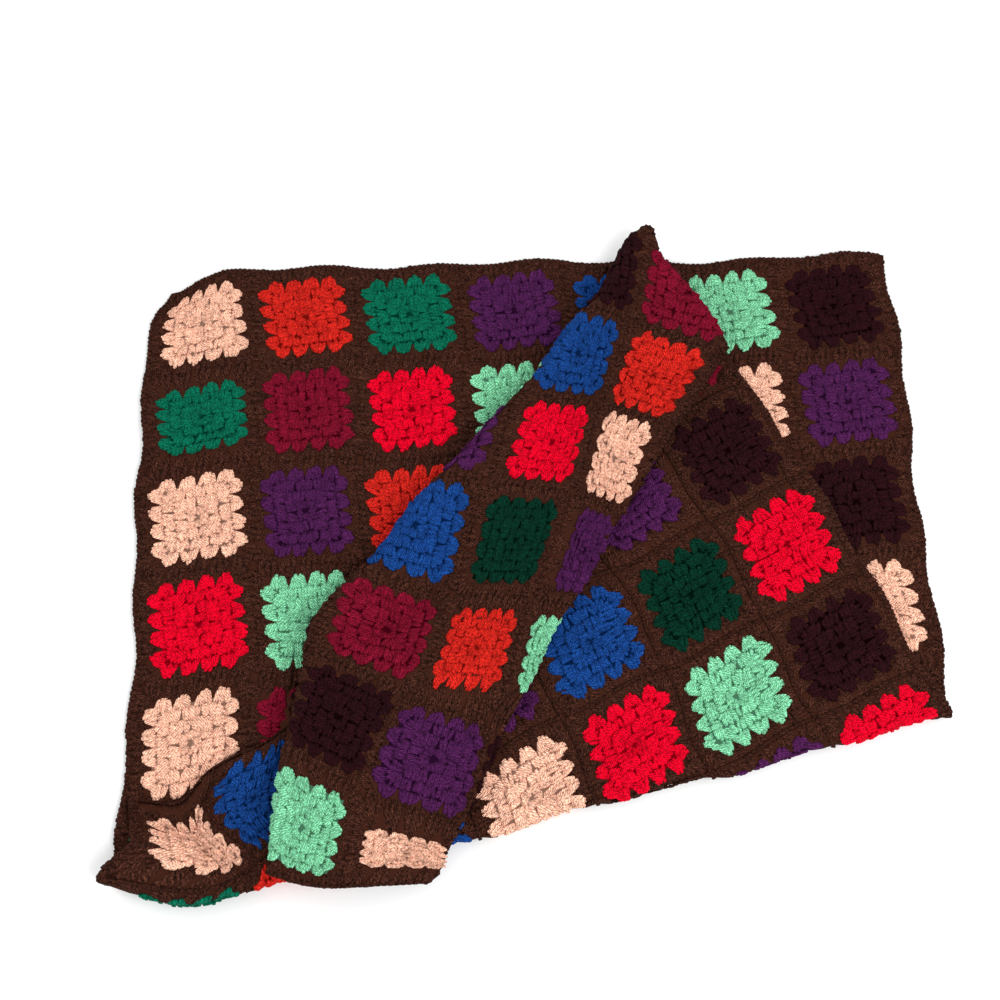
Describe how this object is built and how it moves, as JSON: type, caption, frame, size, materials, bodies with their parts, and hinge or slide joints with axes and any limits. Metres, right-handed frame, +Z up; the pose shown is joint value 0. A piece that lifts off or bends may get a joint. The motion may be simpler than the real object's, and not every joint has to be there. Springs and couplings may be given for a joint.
{
  "type": "granny square blanket",
  "caption": "Crocheted blanket of coloured granny squares joined in brown, lying folded up at its lower edge and turned back in a band.",
  "frame": {"origin": "centre of the bounding box on the floor plane, under the lying blanket", "axes": "+Z up, +X to the blanket's right as seen from its folded edge, +Y away from the folded edge"},
  "size_m": [0.9291, 0.7838, 0.058],
  "materials": {
    "yarn": "soft matt wool yarn, crocheted, brown joining rounds round squares of many colours"
  },
  "bodies": {
    "root": {"blanket": "yarn"}
  },
  "joints": []
}
